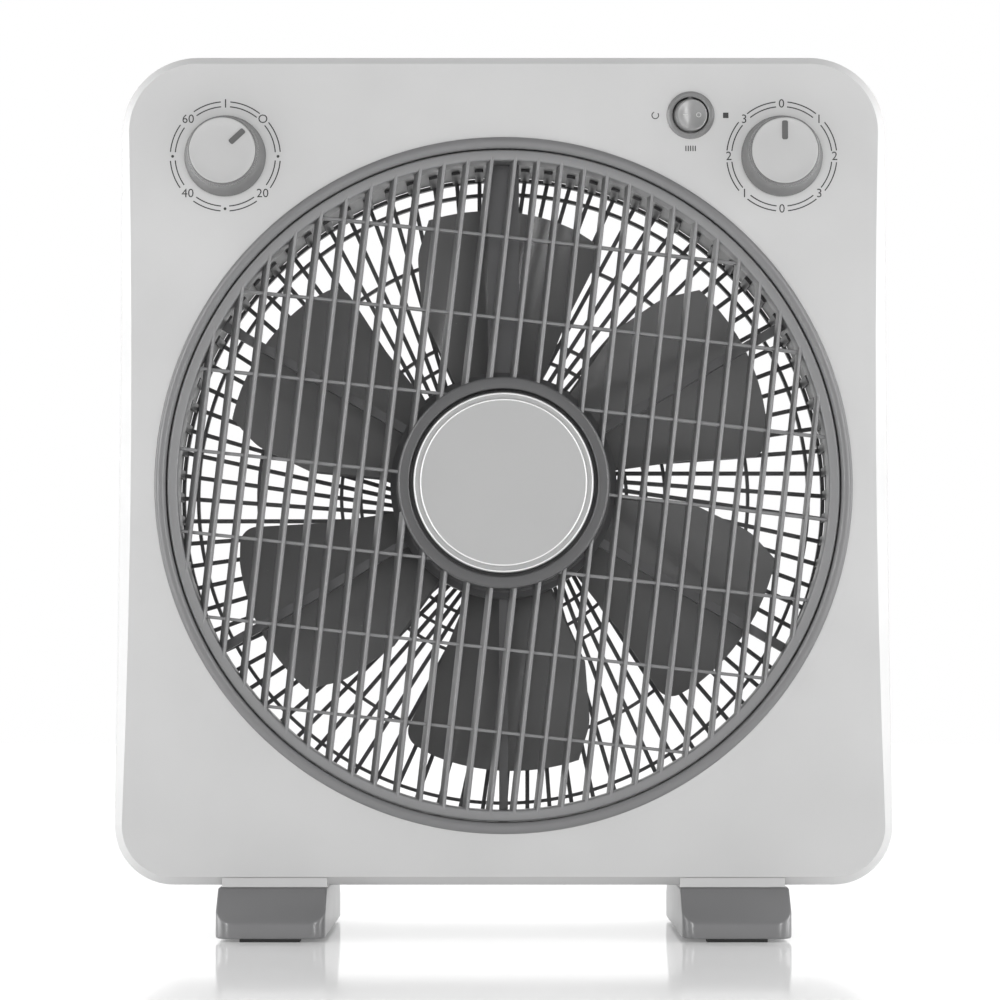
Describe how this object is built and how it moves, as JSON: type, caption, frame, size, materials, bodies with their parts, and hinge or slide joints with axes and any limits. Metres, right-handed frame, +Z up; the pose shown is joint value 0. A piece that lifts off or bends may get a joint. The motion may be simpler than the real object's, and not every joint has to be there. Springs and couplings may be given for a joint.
{
  "type": "box fan",
  "caption": "Square-bodied box fan on two feet, with a round turning louver grille, a broad-bladed impeller, a timer dial, a speed dial and a grille rocker.",
  "frame": {"origin": "middle of the overall box at floor level", "axes": "+Z up, -Y out of the front grille towards the user, +X to the right as seen from the front"},
  "size_m": [0.394, 0.172, 0.4493],
  "materials": {
    "shell": "satin moulded light grey plastic",
    "cap": "satin moulded light grey plastic",
    "grille": "satin moulded dark grey plastic",
    "spider": "moulded dark grey plastic",
    "blade": "semi-gloss moulded dark grey plastic",
    "knob": "satin mid grey moulded plastic",
    "pointer": "dark grey inlay",
    "switch": "black moulded plastic",
    "rocker": "glossy grey plastic",
    "foot": "semi-gloss dark grey plastic",
    "rubber": "black rubber",
    "steel": "zinc plated steel",
    "bell": "pressed steel",
    "lamination": "stacked electrical steel",
    "copper": "varnished copper wire",
    "bronze": "sintered bronze",
    "capacitor": "moulded black case"
  },
  "bodies": {
    "body": {"front_housing": "shell", "rear_housing": "shell", "rear_grille": "grille", "trim_ring": "grille", "front_spider": "spider", "grille_motor_can": "bell", "grille_motor_screws": "steel", "spider_screws": "steel", "motor_stator": "lamination", "motor_windings": "copper", "motor_front_bell": "bell", "motor_rear_bell": "bell", "motor_front_bush": "bronze", "motor_rear_bush": "bronze", "motor_through_screws": "steel", "motor_mount_screws": "steel", "rear_grille_screws": "steel", "housing_screws": "steel", "timer_case": "switch", "speed_switch_case": "switch", "switch_screws": "steel", "rocker_switch_body": "pointer", "air_duct": "shell", "left_foot_bracket": "shell", "right_foot_bracket": "shell", "left_foot": "foot", "right_foot": "foot", "rubber_pads": "rubber", "foot_screws": "steel", "run_capacitor": "capacitor", "capacitor_screw": "steel", "cord_gland": "switch", "cord_clamp": "switch", "cord_clamp_screws": "steel", "terminal_block": "cap", "terminal_block_screw": "steel"},
    "blade_rotor": {"impeller": "blade", "blade_nut": "switch", "motor_shaft": "steel", "drive_pin": "steel", "motor_rotor": "lamination"},
    "turning_grille": {"louver_grille": "grille", "grille_cap": "cap", "grille_screw": "steel", "grille_motor_shaft": "steel"},
    "timer_dial": {"timer_knob": "knob", "timer_knob_cap": "cap", "timer_pointer": "pointer", "timer_shaft": "steel"},
    "speed_dial": {"speed_knob": "knob", "speed_knob_cap": "cap", "speed_pointer": "pointer", "speed_shaft": "steel"},
    "grille_rocker": {"rocker_button": "rocker"}
  },
  "joints": [
    {"name": "blade_spin", "type": "hinge", "parent": "body", "child": "blade_rotor", "pos_m": [0, 0, 0.23], "axis": [0, 1, 0], "continuous": true},
    {"name": "grille_spin", "type": "hinge", "parent": "body", "child": "turning_grille", "pos_m": [0, -0.065, 0.23], "axis": [0, 1, 0], "continuous": true},
    {"name": "timer_turn", "type": "hinge", "parent": "body", "child": "timer_dial", "pos_m": [-0.142, -0.065, 0.3973], "axis": [0, 1, 0], "range_deg": [-47, 268]},
    {"name": "speed_turn", "type": "hinge", "parent": "body", "child": "speed_dial", "pos_m": [0.142, -0.065, 0.3973], "axis": [0, 1, 0], "continuous": true},
    {"name": "rocker_tilt", "type": "hinge", "parent": "body", "child": "grille_rocker", "pos_m": [0.0955, -0.063, 0.4184], "axis": [0, 0, -1], "range_deg": [0, 20]}
  ]
}
